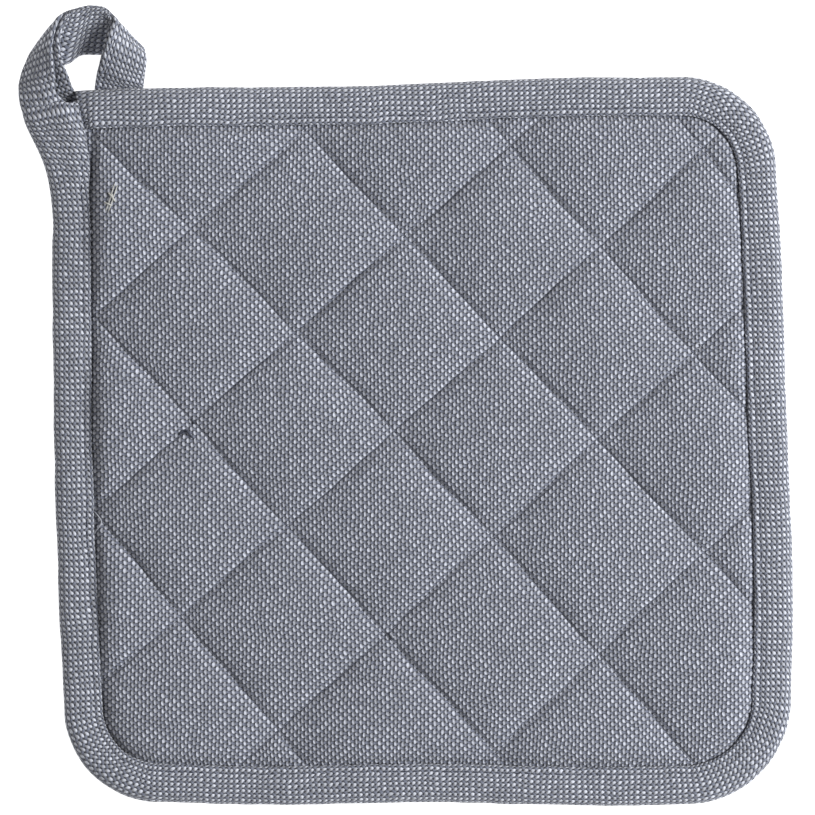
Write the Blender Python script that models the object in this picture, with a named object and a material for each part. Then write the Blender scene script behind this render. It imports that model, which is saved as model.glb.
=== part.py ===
"""A quilted square pot holder with a bias-cut binding and a hanging loop, lying flat, face up.

Three sewn pieces: the quilted pad, the binding folded over its edge, and the loop that the
binding's own tape makes past the top left corner.  Metres, +Z up.  The origin is the middle of
the pad's underside, on the plane it rests on; +X is the pad's right and +Y runs to the loop.
"""
import math

import bmesh
import bpy
from mathutils import Vector

MM = 0.001

# Outer edge of the binding, clockwise from the top left.  The sides meet at these corners.
# columns: x mm, y mm, corner radius mm, then the side that follows: bow, wave, ripple mm
OUTLINE_CORNERS = (
    (-99.6, 97.3, 0.0, -0.4, 0.0, 0.3),
    (97.0, 101.7, 25.0, 1.2, -0.3, 0.4),
    (103.0, -99.2, 28.5, 0.3, -0.1, 0.6),
    (-97.4, -98.2, 26.0, 2.1, -0.1, 0.1),
)
SIDE_STEP = 7.0 * MM
CORNER_STEPS = 9
CORNER_CLEARANCE = 13.0 * MM

# Quilting: two sets of stitch lines that cross and leave diamonds, each line as the needle ran.
# A line's offset is how far it passes from the origin, at its middle.
# columns: offset mm, direction degrees from +X, sag mm at SAG_AT from its middle
DOWN_LINES = (
    (-157.0, -52.0, 0.0),
    (-118.5, -51.5, 0.0),
    (-80.5, -49.9, 0.0),
    (-42.0, -47.5, 0.0),
    (-2.7, -46.4, -2.1),
    (36.4, -46.6, 0.0),
    (73.0, -48.5, 0.0),
    (111.4, -50.9, 0.0),
    (150.0, -51.5, 0.0),
)
UP_LINES = (
    (-163.0, 41.2, 0.0),
    (-124.0, 41.2, 0.0),
    (-85.2, 41.2, 0.0),
    (-45.2, 41.2, 0.0),
    (-6.9, 41.5, -1.2),
    (32.3, 42.3, 0.0),
    (75.8, 44.0, 0.0),
    (124.0, 45.0, 0.0),
    (163.0, 45.0, 0.0),
)
SAG_AT = 90.0 * MM
SAG_ROUNDS = 4

# The quilted cloth's mesh lines across one diamond, and its heights.
GRID_STEPS = (0.0, 0.05, 0.17, 0.5, 0.83, 0.95)
SEAM_HEIGHT = 5.2 * MM
CROWN = 3.2 * MM
CROWN_ROUNDNESS = 0.45
PINCHED_HEIGHT = 4.3 * MM
PINCH_FROM = 8.0 * MM
PINCH_WIDTH = 16.0 * MM
UNDER_SEAM_DEPTH = 0.7 * MM

# Binding: cloth tape folded over the pad's edge and stitched through.
BINDING_WIDTH = 10.8 * MM
BINDING_HEIGHT = 5.6 * MM
TAPE_THICKNESS = 1.3 * MM
FOLD_WALL = 1.5 * MM
FOLD_ROUNDING = 3.2 * MM
FOLD_SHOULDER = 0.9 * MM
LIP_LENGTH = 0.8 * MM
LIP_DROP = 0.3 * MM
CREASE = 0.45 * MM

# What is trimmed from the pad's edge so that the binding fits over it.
GAP = 0.4 * MM
TRIM_WIDTH = BINDING_WIDTH + 0.5 * MM
SLAB_REACH = 9.0 * MM
CUTTER_REACH = 24.0 * MM
CUTTER_TOP = 20.0 * MM
CUTTER_BOTTOM = -6.0 * MM

# The binding's first cut end, on the top side beside the left tape.
FIRST_END_OUTER = Vector((-91.8, 97.9)) * MM
FIRST_END_INNER = Vector((-89.6, 86.8)) * MM

# The left tape leaning off the pad's edge towards the loop, from below upwards.
# columns: fold x, fold y, inner edge x, inner edge y, fold height, ridge height, all mm
LEANING_TAPE = (
    (-101.2, 68.3, -90.3, 68.9, 2.8, 5.6),
    (-102.9, 76.6, -90.2, 76.4, 2.6, 5.9),
    (-106.0, 83.3, -90.4, 83.0, 2.3, 6.2),
    (-108.3, 88.3, -91.0, 90.0, 1.9, 6.4),
    (-109.6, 93.2, -92.3, 97.0, 1.6, 6.4),
)

# The corner that the loop's sewn-down tail lifts off the table.
LIFT_CENTRE = Vector((-84.0, 96.0)) * MM
LIFT_HEIGHT = 3.0 * MM
LIFT_FLAT = 13.0 * MM
LIFT_FADE = 48.0 * MM

# The loop: the same tape closed flat.  One row a section, from the leaning tape round to the tail.
# columns: stitched edge x, y, z mm, folded edge x, y, z mm
LOOP_SECTIONS = (
    (-92.4, 97.9, 6.6, -109.8, 94.4, 4.0),
    (-98.7, 101.4, 10.4, -109.8, 98.0, 3.0),
    (-100.4, 108.8, 12.2, -107.9, 104.2, 3.4),
    (-99.8, 112.9, 11.4, -107.4, 105.6, 4.2),
    (-98.2, 116.6, 9.0, -106.9, 106.0, 3.0),
    (-96.4, 118.7, 8.2, -102.8, 105.2, 1.5),
    (-93.8, 119.5, 8.3, -97.2, 104.0, 1.3),
    (-89.9, 120.2, 8.6, -93.2, 106.7, 1.3),
    (-86.6, 119.5, 8.4, -87.9, 107.0, 1.3),
    (-84.9, 117.4, 8.9, -80.9, 107.5, 1.4),
    (-85.2, 114.8, 10.2, -75.6, 106.6, 3.2),
    (-85.9, 112.6, 11.0, -75.0, 105.2, 4.3),
    (-87.3, 109.0, 10.6, -75.1, 102.9, 3.9),
    (-88.4, 103.6, 7.6, -75.5, 99.9, 2.2),
    (-89.3, 98.6, 2.6, -75.8, 97.0, 1.3),
    (-89.7, 89.5, 1.25, -75.8, 89.5, 1.25),
)
LOOP_STEPS_BETWEEN = 3
LOOP_THICKNESS = 2.2 * MM

SHARP_ANGLE = math.radians(40.0)

# Finishes: plain matt cotton, a little paler where the tape is cut on the bias.
PAD_COLOUR = (0.218, 0.226, 0.270)
BINDING_COLOUR = (0.245, 0.254, 0.292)
LOOP_COLOUR = (0.225, 0.233, 0.270)
CLOTH_ROUGHNESS = 0.92


def clear_scene():
    for old in list(bpy.data.objects):
        bpy.data.objects.remove(old, do_unlink=True)


def new_collection(name):
    collection = bpy.data.collections.new(name)
    bpy.context.scene.collection.children.link(collection)
    return collection


def cloth_material(name, colour):
    material = bpy.data.materials.new(name)
    material.use_nodes = True
    shader = material.node_tree.nodes["Principled BSDF"]
    shader.inputs["Base Color"].default_value = (*colour, 1.0)
    shader.inputs["Roughness"].default_value = CLOTH_ROUGHNESS
    shader.inputs["Metallic"].default_value = 0.0
    return material


def add_object(name, bm, collection):
    """Turn a bmesh into an object whose faces all point outwards."""
    bmesh.ops.recalc_face_normals(bm, faces=bm.faces)
    mesh = bpy.data.meshes.new(name)
    bm.to_mesh(mesh)
    bm.free()
    mesh.shade_smooth()
    mesh.set_sharp_from_angle(angle=SHARP_ANGLE)
    obj = bpy.data.objects.new(name, mesh)
    collection.objects.link(obj)
    return obj


def smooth_step(value):
    value = min(max(value, 0.0), 1.0)
    return value * value * (3.0 - 2.0 * value)


def lift(point):
    """How far the loop's tail raises the pad and binding at a point in plan."""
    beyond = (Vector(point[:2]) - LIFT_CENTRE).length - LIFT_FLAT
    return LIFT_HEIGHT * (1.0 - smooth_step(beyond / LIFT_FADE))


def lifted(x, y, z):
    return Vector((x, y, z + lift((x, y))))


# ---------------------------------------------------------------- the outline

def corner_tangents():
    """Where each corner's arc starts and ends, with its centre."""
    arcs = []
    points = [Vector(row[:2]) * MM for row in OUTLINE_CORNERS]
    for i, corner in enumerate(points):
        before = (points[i - 1] - corner).normalized()
        after = (points[(i + 1) % 4] - corner).normalized()
        radius = OUTLINE_CORNERS[i][2] * MM
        half_angle = before.angle(after) / 2.0
        reach = radius / math.tan(half_angle)
        centre = corner + (before + after).normalized() * radius / math.sin(half_angle)
        arcs.append((corner + before * reach, corner + after * reach, centre))
    return arcs


def arc_points(start, end, centre):
    """Points along a corner's clockwise arc, both ends left out."""
    spoke = start - centre
    first = math.atan2(spoke.y, spoke.x)
    turn = spoke.angle(end - centre)
    points = []
    for step in range(1, CORNER_STEPS):
        angle = first - turn * step / CORNER_STEPS
        points.append(centre + Vector((math.cos(angle), math.sin(angle))) * spoke.length)
    return points


def side_points(start, end, bow, wave, ripple):
    """Points along a side, which swells, sways and ripples slightly, both ends included."""
    along = end - start
    outward = Vector((-along.y, along.x)).normalized()
    count = max(2, round(along.length / SIDE_STEP))
    points = []
    for step in range(count + 1):
        t = step / count
        swell = bow * math.sin(math.pi * t)
        swell += wave * math.sin(2.0 * math.pi * t)
        swell += ripple * math.sin(3.0 * math.pi * t)
        points.append(start + along * t + outward * swell * MM)
    return points


def outline():
    """The closed outer edge, clockwise from the sharp top left corner."""
    arcs = corner_tangents()
    points = []
    for i, row in enumerate(OUTLINE_CORNERS):
        if row[2] > 0.0:
            points += arc_points(*arcs[i])
        points += side_points(arcs[i][1], arcs[(i + 1) % 4][0], *row[3:])
    return points[:-1]


def inward_directions(points):
    """The direction into the pad at each outline point, longer at the sharp corner's mitre."""
    directions = []
    for i, point in enumerate(points):
        before = (point - points[i - 1]).normalized()
        after = (points[(i + 1) % len(points)] - point).normalized()
        along = (before + after).normalized()
        directions.append(Vector((along.y, -along.x)) / along.dot(after))
    return directions


def edge_distance(point, points):
    """How far a point lies inside the outline; negative outside it."""
    nearest = math.inf
    inside = False
    for i, end in enumerate(points):
        start = points[i - 1]
        along = end - start
        t = min(max((point - start).dot(along) / along.length_squared, 0.0), 1.0)
        nearest = min(nearest, (point - start - along * t).length)
        if (start.y > point.y) != (end.y > point.y):
            crossing_x = start.x + (point.y - start.y) / along.y * along.x
            inside ^= point.x < crossing_x
    return nearest if inside else -nearest


# ---------------------------------------------------------------- swept strips

def loft(bm, rings, closed):
    """Skin a row of rings with quads, joined end to end or capped."""
    rows = [[bm.verts.new(co) for co in ring] for ring in rings]
    pairs = list(zip(rows, rows[1:]))
    if closed:
        pairs.append((rows[-1], rows[0]))
    for first, second in pairs:
        for i in range(len(first)):
            bm.faces.new((first[i - 1], first[i], second[i], second[i - 1]))
    if not closed:
        for ring in (rows[0], rows[-1]):
            cap = bm.faces.new(ring)
            cap.normal_update()
            bmesh.ops.triangulate(bm, faces=[cap], ngon_method="EAR_CLIP")


def strip_ring(outer, inward, profile):
    """One cross-section of the binding: (inward distance, height) pairs set on the outline."""
    ring = []
    for distance, height in profile:
        place = outer + inward * distance
        ring.append(lifted(place.x, place.y, height))
    return ring


# ---------------------------------------------------------------- the pieces

def line_at(lines, position):
    """Offset, direction and sag at a fractional line number, read between the table's rows."""
    first = min(int(position), len(lines) - 2)
    share = position - first
    offset, degrees, sag = Vector(lines[first]).lerp(Vector(lines[first + 1]), share)
    return offset * MM, math.radians(degrees), sag * MM


def quilt_point(down_position, up_position):
    """Where a down-running and an up-running quilting line cross in plan."""
    down_offset, down_angle, down_sag = line_at(DOWN_LINES, down_position)
    up_offset, up_angle, up_sag = line_at(UP_LINES, up_position)
    down_along = Vector((math.cos(down_angle), math.sin(down_angle)))
    up_along = Vector((math.cos(up_angle), math.sin(up_angle)))
    down_across = Vector((-down_along.y, down_along.x))
    up_across = Vector((up_along.y, -up_along.x))
    spread = down_across.cross(up_across)
    place = Vector((0.0, 0.0))
    for _ in range(SAG_ROUNDS):
        down_reach = down_offset + down_sag * (place.dot(down_along) / SAG_AT) ** 2
        up_reach = up_offset + up_sag * (place.dot(up_along) / SAG_AT) ** 2
        x = (down_reach * up_across.y - up_reach * down_across.y) / spread
        y = (up_reach * down_across.x - down_reach * up_across.x) / spread
        place = Vector((x, y))
    return place


def quilt_puff(share):
    """The filling's rise across one diamond, from seam to seam."""
    return (4.0 * share * (1.0 - share)) ** CROWN_ROUNDNESS


def quilted_slab(points):
    """The quilted layers before their edge is trimmed: a crowned top and a flat underside."""
    steps = len(GRID_STEPS)
    counts = [(len(lines) - 1) * steps for lines in (DOWN_LINES, UP_LINES)]
    bm = bmesh.new()
    bmesh.ops.create_grid(bm, x_segments=counts[0], y_segments=counts[1], size=1.0)
    shares = {}
    for vert in bm.verts:
        lines = []
        for value, count in zip(vert.co.xy, counts):
            index = round((value + 1.0) / 2.0 * count)
            lines.append((index // steps, GRID_STEPS[index % steps]))
        (down_line, down_share), (up_line, up_share) = lines
        place = quilt_point(down_line + down_share, up_line + up_share)
        vert.co = (place.x, place.y, 0.0)
        shares[vert] = (down_share, up_share)

    beyond = []
    for face in bm.faces:
        if edge_distance(face.calc_center_median().xy, points) < -SLAB_REACH:
            beyond.append(face)
    bmesh.ops.delete(bm, geom=beyond, context="FACES")

    top = list(bm.verts)
    under = bmesh.ops.duplicate(bm, geom=bm.verts[:] + bm.edges[:] + bm.faces[:])
    for vert in top:
        place_pair(vert, under["vert_map"][vert], shares[vert], points)
    rims = [edge for edge in bm.edges if edge.is_boundary]
    bmesh.ops.bridge_loops(bm, edges=rims)
    return bm


def place_pair(vert, copy, shares, points):
    """Set the heights of a point on the crowned top and of the one below it."""
    x, y = vert.co.xy
    pinch = smooth_step((edge_distance(vert.co.xy, points) - PINCH_FROM) / PINCH_WIDTH)
    puff = quilt_puff(shares[0]) * quilt_puff(shares[1])
    seam = PINCHED_HEIGHT + (SEAM_HEIGHT - PINCHED_HEIGHT) * pinch
    vert.co = lifted(x, y, seam + CROWN * puff * pinch)
    on_seam = 0.0 in shares
    copy.co = lifted(x, y, UNDER_SEAM_DEPTH if on_seam else 0.0)


def edge_cutter(points, collection):
    """What is cut from the slab: all beyond the binding's fold, and room for its two faces."""
    under = TAPE_THICKNESS + GAP
    over = BINDING_HEIGHT - TAPE_THICKNESS - GAP
    fold = FOLD_WALL + GAP
    profile = (
        (-CUTTER_REACH, CUTTER_BOTTOM),
        (TRIM_WIDTH, CUTTER_BOTTOM),
        (TRIM_WIDTH, under),
        (fold, under),
        (fold, over),
        (TRIM_WIDTH, over),
        (TRIM_WIDTH, CUTTER_TOP),
        (-CUTTER_REACH, CUTTER_TOP),
    )
    rings = []
    for point, inward in zip(points, inward_directions(points)):
        from_corner = (point - points[0]).length
        if 0.0 < from_corner < CORNER_CLEARANCE:
            continue
        rings.append(strip_ring(point, inward, profile))
    bm = bmesh.new()
    loft(bm, rings, closed=True)
    cutter = add_object("edge_cutter", bm, collection)
    cutter.display_type = "WIRE"
    cutter.hide_render = True
    return cutter


def make_pad(points, collection, cutters):
    pad = add_object("quilted_pad", quilted_slab(points), collection)
    trim = pad.modifiers.new("trim_edge", "BOOLEAN")
    trim.operation = "DIFFERENCE"
    trim.solver = "EXACT"
    trim.object = edge_cutter(points, cutters)
    pad.data.materials.append(cloth_material("quilted_cotton", PAD_COLOUR))
    return pad


def binding_profile(width, fold_reach=0.0, fold_height=None, ridge_height=None):
    """The folded tape's section, from the face's inner edge round the fold to the back's."""
    middle = BINDING_HEIGHT / 2.0 if fold_height is None else fold_height
    ridge = BINDING_HEIGHT if ridge_height is None else ridge_height
    nose = TAPE_THICKNESS * 0.8
    shoulder = TAPE_THICKNESS * 1.4
    shoulder_in = FOLD_SHOULDER - fold_reach * 0.55
    ceiling = BINDING_HEIGHT - TAPE_THICKNESS
    return (
        (width, BINDING_HEIGHT - LIP_DROP),
        (width - LIP_LENGTH, BINDING_HEIGHT),
        (FOLD_ROUNDING + fold_reach * 0.3, ridge),
        (shoulder_in, middle + shoulder),
        (-fold_reach, middle + nose),
        (-fold_reach, middle - nose),
        (shoulder_in, max(middle - shoulder, 0.0)),
        (FOLD_ROUNDING, 0.0),
        (width, 0.0),
        (width, TAPE_THICKNESS),
        (FOLD_WALL + CREASE, TAPE_THICKNESS),
        (FOLD_WALL, TAPE_THICKNESS + CREASE),
        (FOLD_WALL, ceiling - CREASE),
        (FOLD_WALL + CREASE, ceiling),
        (width, ceiling),
    )


def make_binding(points, collection):
    """The tape folded over the edge, clockwise from its cut end to where it leans to the loop."""
    inwards = inward_directions(points)
    span = FIRST_END_INNER - FIRST_END_OUTER
    profile = binding_profile(BINDING_WIDTH)
    rings = [strip_ring(FIRST_END_OUTER, span / BINDING_WIDTH, profile)]
    leaning_from = LEANING_TAPE[0][1] * MM - SIDE_STEP / 2.0
    for point, inward in zip(points[1:], inwards[1:]):
        near_start = point.y > 0.0 and point.x < FIRST_END_INNER.x + SIDE_STEP / 2.0
        on_left = point.x < FIRST_END_OUTER.x
        if near_start and (not on_left or point.y > leaning_from):
            continue
        rings.append(strip_ring(point, inward, profile))
    edge_x = points[0].x - TAPE_THICKNESS
    for fold_x, fold_y, inner_x, inner_y, fold_height, ridge_height in LEANING_TAPE:
        fold = Vector((fold_x, fold_y)) * MM
        inner = Vector((inner_x, inner_y)) * MM
        inward = (inner - fold).normalized()
        reach = max(edge_x - fold.x, 0.0) / inward.x
        outer = fold + inward * reach
        width = (inner - outer).length
        leaning = binding_profile(width, reach, fold_height * MM, ridge_height * MM)
        rings.append(strip_ring(outer, inward, leaning))
    bm = bmesh.new()
    loft(bm, rings, closed=False)
    binding = add_object("edge_binding", bm, collection)
    binding.data.materials.append(cloth_material("bias_binding", BINDING_COLOUR))
    return binding


def smooth_rows(rows, steps):
    """Rows set between the table's rows along a smooth curve through them."""
    result = []
    for i in range(len(rows) - 1):
        before = rows[max(i - 1, 0)]
        after = rows[min(i + 2, len(rows) - 1)]
        for step in range(steps):
            t = step / steps
            row = []
            for a, b, c, d in zip(before, rows[i], rows[i + 1], after):
                curve = 2.0 * b + (c - a) * t + (2.0 * a - 5.0 * b + 4.0 * c - d) * t ** 2
                curve += (3.0 * b - a - 3.0 * c + d) * t ** 3
                row.append(curve / 2.0)
            result.append(row)
    result.append(list(rows[-1]))
    return result


def make_loop(collection):
    """The closed tape that stands off the corner, turns over twice and is sewn down behind."""
    rows = smooth_rows(LOOP_SECTIONS, LOOP_STEPS_BETWEEN)
    stitched = [Vector(row[:3]) * MM for row in rows]
    folded = [Vector(row[3:]) * MM for row in rows]
    half = LOOP_THICKNESS / 2.0
    rings = []
    for i in range(len(rows)):
        across = (folded[i] - stitched[i]).normalized()
        before = max(i - 1, 0)
        after = min(i + 1, len(rows) - 1)
        along = stitched[after] + folded[after] - stitched[before] - folded[before]
        face = across.cross(along).normalized()
        rounded = across * half * 0.7
        corners = (stitched[i], stitched[i] + rounded, folded[i] - rounded, folded[i])
        shares = (0.5, 1.0, 1.0, 0.4)
        upper = [corner + face * half * share for corner, share in zip(corners, shares)]
        lower = [corner - face * half * share for corner, share in zip(corners, shares)]
        rings.append(upper + lower[::-1])
    bm = bmesh.new()
    loft(bm, rings, closed=False)
    loop = add_object("hanging_loop", bm, collection)
    loop.data.materials.append(cloth_material("loop_tape", LOOP_COLOUR))
    return loop


def main():
    clear_scene()
    parts = new_collection("pot_holder")
    cutters = new_collection("pot_holder_cutters")
    points = outline()
    make_pad(points, parts, cutters)
    make_binding(points, parts)
    make_loop(parts)


main()
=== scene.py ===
"""A quilted cotton pot holder, blue-grey and white plain weave, with a bias binding and a loop.

The frame holds the pad, the binding and the loop as plain solids.  Here the cloth itself is made:
the quilted faces with the wadding between them, the one bias tape that binds the edge and turns
over into the hanging loop, and the sewing thread.  Metres, +Z up, lying on its back face.
"""
import math

import bpy
import numpy as np
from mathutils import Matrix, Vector, bvhtree, kdtree, noise


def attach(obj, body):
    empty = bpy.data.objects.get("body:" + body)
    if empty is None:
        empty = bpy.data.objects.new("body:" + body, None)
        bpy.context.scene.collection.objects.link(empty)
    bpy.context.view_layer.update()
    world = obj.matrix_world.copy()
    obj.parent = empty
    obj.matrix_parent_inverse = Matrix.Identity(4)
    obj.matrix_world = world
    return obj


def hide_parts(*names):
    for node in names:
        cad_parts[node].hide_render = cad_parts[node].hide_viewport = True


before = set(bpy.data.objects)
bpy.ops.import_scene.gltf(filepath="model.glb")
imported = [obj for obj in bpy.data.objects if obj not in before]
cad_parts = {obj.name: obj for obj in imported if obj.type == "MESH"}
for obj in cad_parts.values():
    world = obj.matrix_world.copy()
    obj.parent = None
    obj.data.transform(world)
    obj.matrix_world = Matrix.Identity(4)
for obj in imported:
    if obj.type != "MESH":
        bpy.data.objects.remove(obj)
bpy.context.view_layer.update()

MM = 0.001

# ------------------------------------------------------------------ the maker's sizes

# Outer edge of the binding, clockwise from the top left.  The sides meet at these corners.
# columns: x mm, y mm, corner radius mm, then the side that follows: bow, wave, ripple mm
OUTLINE_CORNERS = (
    (-99.6, 96.7, 0.0, 0.1, -0.15, 0.35),
    (97.6, 101.5, 26.0, 1.35, -0.3, 0.3),
    (103.2, -99.4, 29.0, 0.3, -0.1, 0.5),
    (-97.4, -98.5, 26.0, 2.1, -0.1, 0.1),
)
OUTLINE_STEP = 0.75 * MM

# Quilting: the stitch lines that run down to the right and up to the right.
# columns: offset from the origin mm, direction degrees from +X, sag mm at SAG_AT from its middle
DOWN_LINES = (
    (-157.0, -52.0, 0.0),
    (-118.5, -51.5, 0.0),
    (-80.5, -49.9, 0.0),
    (-42.0, -47.5, 0.0),
    (-2.7, -46.4, -2.1),
    (36.4, -46.6, 0.0),
    (73.0, -48.5, 0.0),
    (111.4, -50.9, 0.0),
    (150.0, -51.5, 0.0),
)
UP_LINES = (
    (-163.0, 41.2, 0.0),
    (-124.0, 41.2, 0.0),
    (-85.2, 41.2, 0.0),
    (-45.2, 41.2, 0.0),
    (-6.9, 41.5, -1.2),
    (32.3, 42.3, 0.0),
    (75.8, 44.0, 0.0),
    (124.0, 45.0, 0.0),
    (163.0, 45.0, 0.0),
)
SAG_AT = 90.0 * MM
SAG_ROUNDS = 4
SEAM_STRAY = 0.25 * MM
SLOW_STRAY = (9.0 * MM, 2.4)
QUICK_STRAY = (3.1 * MM, 5.1)
QUICK_SHARE = 0.5

# The pad: two cotton faces with wadding between them.
STEPS_PER_DIAMOND = 36
SEAM_CROWDING = 0.62
SEAM_HEIGHT = 5.2 * MM
CROWN = 3.5 * MM
CROWN_ROUNDNESS = 0.46
PINCHED_HEIGHT = 4.3 * MM
PINCH_FROM = 9.0 * MM
PINCH_WIDTH = 8.0 * MM
PINCHED_CROWN = 0.75
RIM_INSET = 3.2 * MM
RIM_TOP = 3.8 * MM
RIM_UNDER = 1.7 * MM
RIM_REACH = (10.4 * MM, 12.6 * MM)
UNDER_GROOVE = 0.9 * MM
GROOVE_WIDTH = 1.3 * MM
LINE_PITCH = 38.5 * MM
SAGGING_SIZE = 26.0 * MM
SAGGING_SHARE = 0.22
PUCKER_SIZE = 3.4 * MM
PUCKER_HEIGHT = 0.20 * MM
PUCKER_REACH = 3.0 * MM
PUCKER_START = 0.8 * MM

# The bias tape: raw edges turned in, folded over the pad's edge.
TAPE_LAYER = 1.15 * MM
BINDING_WIDTH = 10.8 * MM
BINDING_OPENING = 4.4 * MM
BINDING_DOME = 0.45 * MM
STITCH_INSET = 1.5 * MM
STITCH_DIMPLE = 0.28 * MM
FIRST_END_X = -94.8 * MM
FIRST_END_SLANT = 2.0 * MM
FIRST_END_OPENING = 1.3 * MM
FIRST_END_RISE = 6.0 * MM
LEAN_FROM_Y = 62.0 * MM
LEFT_SIDE_X = -90.0 * MM
LEFT_SIDE_WAY = 0.7

# The left tape leaning off the pad's edge, then the loop, standing off the corner, turning over
# twice and sewn down behind.  The stitched edge is where the tape's two layers meet.
# columns: stitched edge x, y, z mm, fold x, y, z mm, opening between the layers mm,
#          lead of the under layer mm, ridge place (share of width), ridge height mm
LEANING_TAPE = (
    (-90.2, 68.9, 2.85, -101.2, 68.3, 2.8, 4.4, 0.0, 0.60, 0.5),
    (-89.9, 76.4, 2.95, -102.9, 76.6, 2.6, 4.5, -0.2, 0.80, 0.9),
    (-90.8, 83.0, 3.1, -106.0, 83.3, 2.3, 4.8, -0.4, 0.87, 1.5),
    (-92.1, 90.0, 3.3, -108.3, 88.3, 1.9, 5.0, -0.4, 0.82, 2.2),
)
LOOP_TAPE = (
    (-93.8, 93.2, 4.9, -109.2, 91.4, 3.8, 4.3, 0.3, 0.70, 2.4),
    (-97.2, 94.9, 6.0, -109.6, 93.4, 4.1, 3.8, 3.0, 0.77, 1.9),
    (-98.9, 96.9, 7.4, -109.8, 95.5, 4.0, 3.3, 3.9, 0.80, 1.3),
    (-98.9, 99.4, 8.9, -109.9, 97.5, 3.5, 2.8, 3.1, 0.72, 0.9),
    (-98.9, 101.6, 10.3, -109.9, 99.0, 3.0, 2.2, 2.3, 0.6, 0.6),
    (-99.4, 104.7, 11.6, -109.1, 101.7, 3.1, 1.5, 2.0, 0.5, 0.2),
    (-99.6, 108.1, 12.2, -107.7, 104.1, 3.4, 1.45, 1.6, 0.5, 0.3),
    (-99.0, 112.1, 11.4, -106.8, 105.4, 4.2, 1.45, 1.0, 0.5, 0.3),
    (-97.7, 116.2, 9.6, -105.9, 105.9, 4.4, 1.45, 0.5, 0.5, 0.2),
    (-95.9, 118.2, 8.8, -102.6, 105.5, 3.6, 1.45, 0.0, 0.5, 0.1),
    (-93.6, 119.0, 8.5, -97.5, 104.3, 2.6, 1.45, 0.0, 0.5, 0.0),
    (-89.8, 119.7, 8.4, -93.5, 107.0, 1.3, 1.45, 0.0, 0.5, 0.0),
    (-86.2, 119.3, 8.2, -88.2, 107.3, 0.9, 1.45, 0.0, 0.5, 0.0),
    (-84.3, 117.3, 8.7, -82.4, 107.9, 0.9, 1.45, 0.0, 0.5, 0.0),
    (-83.9, 116.0, 9.5, -76.6, 107.9, 2.2, 1.45, 0.0, 0.5, 0.0),
    (-84.5, 113.9, 10.6, -75.5, 106.7, 3.3, 1.45, 0.0, 0.5, 0.0),
    (-85.2, 111.3, 11.3, -75.0, 105.2, 4.3, 1.45, 0.0, 0.5, 0.3),
    (-86.1, 108.3, 10.6, -75.1, 102.9, 3.9, 1.45, 0.0, 0.5, 0.4),
    (-87.7, 103.6, 7.6, -75.6, 100.1, 2.2, 1.45, 0.0, 0.5, 0.3),
    (-89.1, 99.6, 2.8, -76.0, 97.3, 1.4, 1.45, 0.0, 0.5, 0.0),
    (-90.0, 90.2, 1.3, -76.0, 89.7, 1.3, 1.3, 0.0, 0.5, 0.0),
)
ROW_STEPS = 9
JOIN_STATIONS = 8
FOLD_SAMPLES = 9
FOLD_REACH = 1.15
LAYER_SAMPLES = 17
LIP_SAMPLES = 3
CREST_ROUNDING = 0.02
STITCH_SPREAD = 0.75 * MM
UNDER_DIMPLE = 0.4
FINE_WOBBLE = 0.16 * MM
FINE_SIZE = 5.5 * MM
BROAD_WOBBLE = 0.25 * MM
BROAD_SIZE = 16.0 * MM
SHARP_RIDGE = 0.5 * MM
TABLE_CLEARANCE = 0.02 * MM
END_STEPS = 12

# The corner that the loop's sewn-down tail lifts off the table.
LIFT_CENTRE = (-84.0 * MM, 96.0 * MM)
LIFT_HEIGHT = 3.0 * MM
LIFT_FLAT = 13.0 * MM
LIFT_FADE = 48.0 * MM

# Thread spacings of the plain weave, and of its floats along and across the bias-cut tape.
PALE_SPACING = 1.06 * MM
SLATE_SPACING = 1.035 * MM
SLATE_SLOPE = math.tan(math.radians(4.6))
BIAS_ALONG = 1.62 * MM
BIAS_ACROSS = 1.42 * MM

# Sewing thread: quilting seams, and the seam that holds the tape.
THREAD_RADIUS = 0.17 * MM
QUILT_STITCH = 3.1 * MM
TAPE_STITCH = 2.8 * MM
STITCH_GAP = 0.7 * MM
STITCH_SUNK = -0.34 * MM
STITCH_PROUD = -0.04 * MM
STITCH_RINGS = 6
TUBE_SIDES = 6
SEAM_STEPS = 40
TWIST_RELIEF = 0.05 * MM
END_TIP = 0.45
END_TAPER = 4.0
END_DENSITY = 6
LOOP_TURNS = 1.15
LOOP_POINTS = 9
LOOP_CLIMB = 0.25
SEAM_LOOP_THREAD = 0.8

# Ends of thread left lying on the face.
# rows: thickness as a share of the sewing thread's, then x, y mm and height over the cloth mm
WHITE_ENDS = (
    (0.9, ((-83.0, 71.2, 0.05), (-83.7, 68.9, 0.45), (-84.5, 66.2, 0.35), (-85.6, 63.4, 0.0))),
    (0.9, ((-82.3, 70.7, 0.0), (-83.1, 68.1, 0.5), (-83.9, 65.6, 0.4), (-84.9, 63.2, 0.05))),
    (1.5, ((-84.8, 68.6, 0.2), (-83.9, 67.5, 0.7), (-82.9, 66.1, 0.3))),
    (1.7, ((-83.9, 68.2, 0.5), (-83.6, 67.2, 0.7), (-83.2, 66.4, 0.3))),
    (1.3, ((-86.0, 65.8, 0.2), (-84.9, 65.5, 0.6), (-83.8, 64.9, 0.2))),
)
PALE_ENDS = (
    (1.2, ((-89.6, -18.4, 0.2), (-88.3, -19.7, 0.5), (-87.2, -21.3, 0.5), (-87.5, -22.4, 0.5),
           (-88.6, -23.8, 0.5), (-89.4, -25.2, 0.2))),
    (1.6, ((-7.9, -52.5, 0.1), (-7.4, -52.8, 0.45), (-7.0, -53.3, 0.1))),
)
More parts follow.
